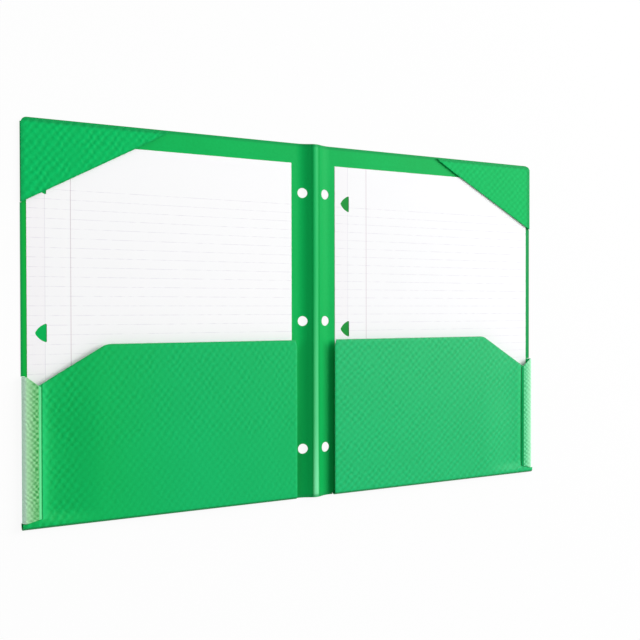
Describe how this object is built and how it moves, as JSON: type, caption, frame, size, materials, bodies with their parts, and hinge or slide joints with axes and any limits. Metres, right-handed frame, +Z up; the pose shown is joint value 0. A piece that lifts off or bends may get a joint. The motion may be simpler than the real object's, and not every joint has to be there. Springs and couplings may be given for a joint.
{
  "type": "two pocket folder",
  "caption": "Plastic pocket folder lying open, with a ridged spine between folding covers, gusseted pockets, corner tabs, ring holes and loose lined sheets.",
  "frame": {"origin": "under the middle of the spine, on the surface that the open folder lies on", "axes": "+X across the open folder from the front cover to the back cover, +Y up the covers to their top edge, +Z up out of the folder's inside"},
  "size_m": [0.4826, 0.2984, 0.0061],
  "materials": {
    "smooth_plastic": "satin",
    "embossed_plastic": "satin",
    "paper": "matte"
  },
  "bodies": {
    "spine": {"spine": "smooth_plastic", "front_spine_hinge": "smooth_plastic", "back_spine_hinge": "smooth_plastic"},
    "front_cover": {"front_cover": "smooth_plastic", "front_gutter": "smooth_plastic", "front_pocket_fold": "embossed_plastic", "front_side_gusset": "embossed_plastic", "front_tab_fold": "embossed_plastic"},
    "front_pocket": {"front_pocket": "embossed_plastic", "front_side_flap": "embossed_plastic"},
    "front_tab": {"front_corner_tab": "embossed_plastic"},
    "front_paper": {"front_paper": "paper"},
    "back_cover": {"back_cover": "smooth_plastic", "back_gutter": "smooth_plastic", "back_pocket_fold": "embossed_plastic", "back_side_gusset": "embossed_plastic", "back_tab_fold": "embossed_plastic"},
    "back_pocket": {"back_pocket": "embossed_plastic", "back_side_flap": "embossed_plastic"},
    "back_tab": {"back_corner_tab": "embossed_plastic"},
    "back_paper": {"back_paper": "paper"}
  },
  "joints": [
    {"name": "front_spine_fold", "type": "hinge", "parent": "spine", "child": "front_cover", "pos_m": [-0.0034, 0, 0.0043], "axis": [0, 1, 0], "range_deg": [0, 90], "deforming": ["front_spine_hinge"]},
    {"name": "front_tab_lift", "type": "hinge", "parent": "front_cover", "child": "front_tab", "pos_m": [-0.2403, 0.12, 0.001], "axis": [0, -1, 0], "range_deg": [0, 180], "deforming": ["front_tab_fold"]},
    {"name": "front_pocket_press", "type": "hinge", "parent": "front_cover", "child": "front_pocket", "pos_m": [-0.13, -0.14642, 0.0028], "axis": [1, 0, 0], "range_deg": [-1.6, 0], "deforming": ["front_pocket_fold", "front_side_gusset"]},
    {"name": "front_paper_slide", "type": "slide", "parent": "front_cover", "child": "front_paper", "axis": [0, 1, 0], "range_m": [0, 0.3]},
    {"name": "back_spine_fold", "type": "hinge", "parent": "back_cover", "child": "spine", "pos_m": [0.0034, 0, 0.0043], "axis": [0, 1, 0], "range_deg": [0, 90], "deforming": ["back_spine_hinge"]},
    {"name": "back_tab_lift", "type": "hinge", "parent": "back_cover", "child": "back_tab", "pos_m": [0.2403, 0.12, 0.001], "axis": [0, 1, 0], "range_deg": [0, 180], "deforming": ["back_tab_fold"]},
    {"name": "back_pocket_press", "type": "hinge", "parent": "back_cover", "child": "back_pocket", "pos_m": [0.13, -0.14642, 0.0028], "axis": [1, 0, 0], "range_deg": [-1.6, 0], "deforming": ["back_pocket_fold", "back_side_gusset"]},
    {"name": "back_paper_slide", "type": "slide", "parent": "back_cover", "child": "back_paper", "axis": [0, 1, 0], "range_m": [0, 0.3]}
  ],
  "couplings": [
    {"joint": "front_spine_fold", "follows": "back_spine_fold", "ratio": 1}
  ]
}
